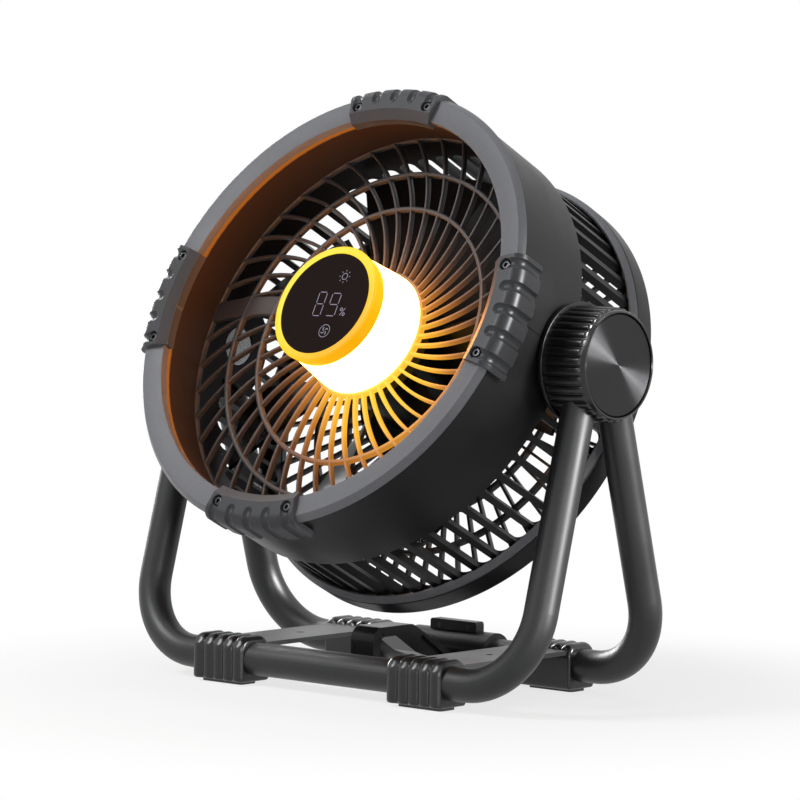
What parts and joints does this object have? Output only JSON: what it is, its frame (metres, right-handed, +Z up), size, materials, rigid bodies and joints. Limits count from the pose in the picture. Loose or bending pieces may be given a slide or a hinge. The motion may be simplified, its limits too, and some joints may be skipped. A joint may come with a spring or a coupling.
{
  "type": "camping fan",
  "caption": "Tilting drum-shaped camping fan with a lamp and display in its front grille, on a bent-tube stand with foot blocks and a fold-away hanging hook.",
  "frame": {"origin": "on the ground under the middle of the whole object at rest, which is 4 mm in front of the vertical plane through the tilt pivot", "axes": "+Z up, the fan blows towards -Y, the hubs lie on +X and -X"},
  "size_m": [0.3796, 0.2738, 0.3948],
  "materials": {
    "powder_coated_tube": "fine textured black powder coat",
    "charcoal_housing": "satin charcoal moulded plastic",
    "bezel_grey": "satin mid grey moulded plastic",
    "grille_grey": "satin dark grey moulded plastic",
    "bumper_rubber": "fine textured grey rubber",
    "foot_rubber": "dark grey rubber",
    "plate_grey": "light grey paint",
    "screw_steel": "black-oxide and bright steel",
    "bright_steel": "turned steel",
    "spun_black": "spun and black anodised aluminium",
    "white_diffuser": "opal acrylic, lit",
    "glow_ring": "amber acrylic, lit",
    "display_glass": "near-black polished panel",
    "board_green": "circuit board",
    "cell_wrap": "shrink-wrapped cell",
    "copper_coil": "enamelled copper winding",
    "stator_steel": "laminated steel, lacquered",
    "magnet_nickel": "nickel plated magnet",
    "lamp_white": "white moulded plastic",
    "blade_black": "black moulded plastic",
    "hook_black": "black moulded nylon"
  },
  "bodies": {
    "stand": {"front_tube": "powder_coated_tube", "rear_tube": "powder_coated_tube", "left_hub": "charcoal_housing", "right_hub": "charcoal_housing", "hub_caps": "spun_black", "front_left_foot": "foot_rubber", "front_right_foot": "foot_rubber", "rear_left_foot": "foot_rubber", "rear_right_foot": "foot_rubber", "left_base_plate": "plate_grey", "right_base_plate": "plate_grey", "sole_pads": "foot_rubber", "leg_screws": "screw_steel"},
    "head": {"bezel_ring": "bezel_grey", "upper_housing": "charcoal_housing", "lower_housing": "charcoal_housing", "duct_ring": "charcoal_housing", "front_grille": "grille_grey", "side_cage": "charcoal_housing", "rear_grille": "grille_grey", "rear_rim": "charcoal_housing", "right_bumper": "bumper_rubber", "top_bumper": "bumper_rubber", "left_bumper": "bumper_rubber", "bottom_bumper": "bumper_rubber", "bumper_screws": "screw_steel", "lamp_base": "lamp_white", "led_board": "board_green", "lamp_diffuser": "white_diffuser", "lamp_ring": "glow_ring", "display_carrier": "blade_black", "display_board": "board_green", "display_glass": "display_glass", "rear_hub": "charcoal_housing", "rear_cover": "charcoal_housing", "battery_cells": "cell_wrap", "battery_tray": "blade_black", "charge_board": "board_green", "charge_socket": "bright_steel", "switch_board": "board_green", "motor_mount": "blade_black", "stator_core": "stator_steel", "stator_coils": "copper_coil", "motor_bearings": "bright_steel", "left_pivot_boss": "charcoal_housing", "right_pivot_boss": "charcoal_housing", "pivot_axles": "bright_steel", "friction_washers": "blade_black", "spring_washers": "screw_steel", "axle_nuts": "screw_steel"},
    "rotor": {"rotor_bell": "stator_steel", "rotor_magnets": "magnet_nickel", "fan_blades": "blade_black", "motor_shaft": "bright_steel", "blade_nut": "screw_steel"},
    "fan_button": {"fan_button": "bumper_rubber"},
    "light_button": {"light_button": "bumper_rubber"},
    "hook": {"hanging_hook": "hook_black", "hook_clamp": "hook_black", "hook_screws": "screw_steel"}
  },
  "joints": [
    {"name": "head_tilt", "type": "hinge", "parent": "stand", "child": "head", "pos_m": [0, 0.00354, 0.22004], "axis": [-1, 0, 0], "range_deg": [-117, 63]},
    {"name": "fan_spin", "type": "hinge", "parent": "head", "child": "rotor", "pos_m": [0, 0.00354, 0.22004], "axis": [0, -0.891, 0.454], "continuous": true},
    {"name": "fan_button_press", "type": "slide", "parent": "head", "child": "fan_button", "axis": [0, -0.891, 0.454], "range_m": [0, 0.001], "stiffness_N_per_m": 400},
    {"name": "light_button_press", "type": "slide", "parent": "head", "child": "light_button", "axis": [0, -0.891, 0.454], "range_m": [0, 0.001], "stiffness_N_per_m": 400},
    {"name": "hook_fold", "type": "hinge", "parent": "stand", "child": "hook", "pos_m": [0, 0.06854, 0.0175], "axis": [1, 0, 0], "range_deg": [0, 180]}
  ]
}
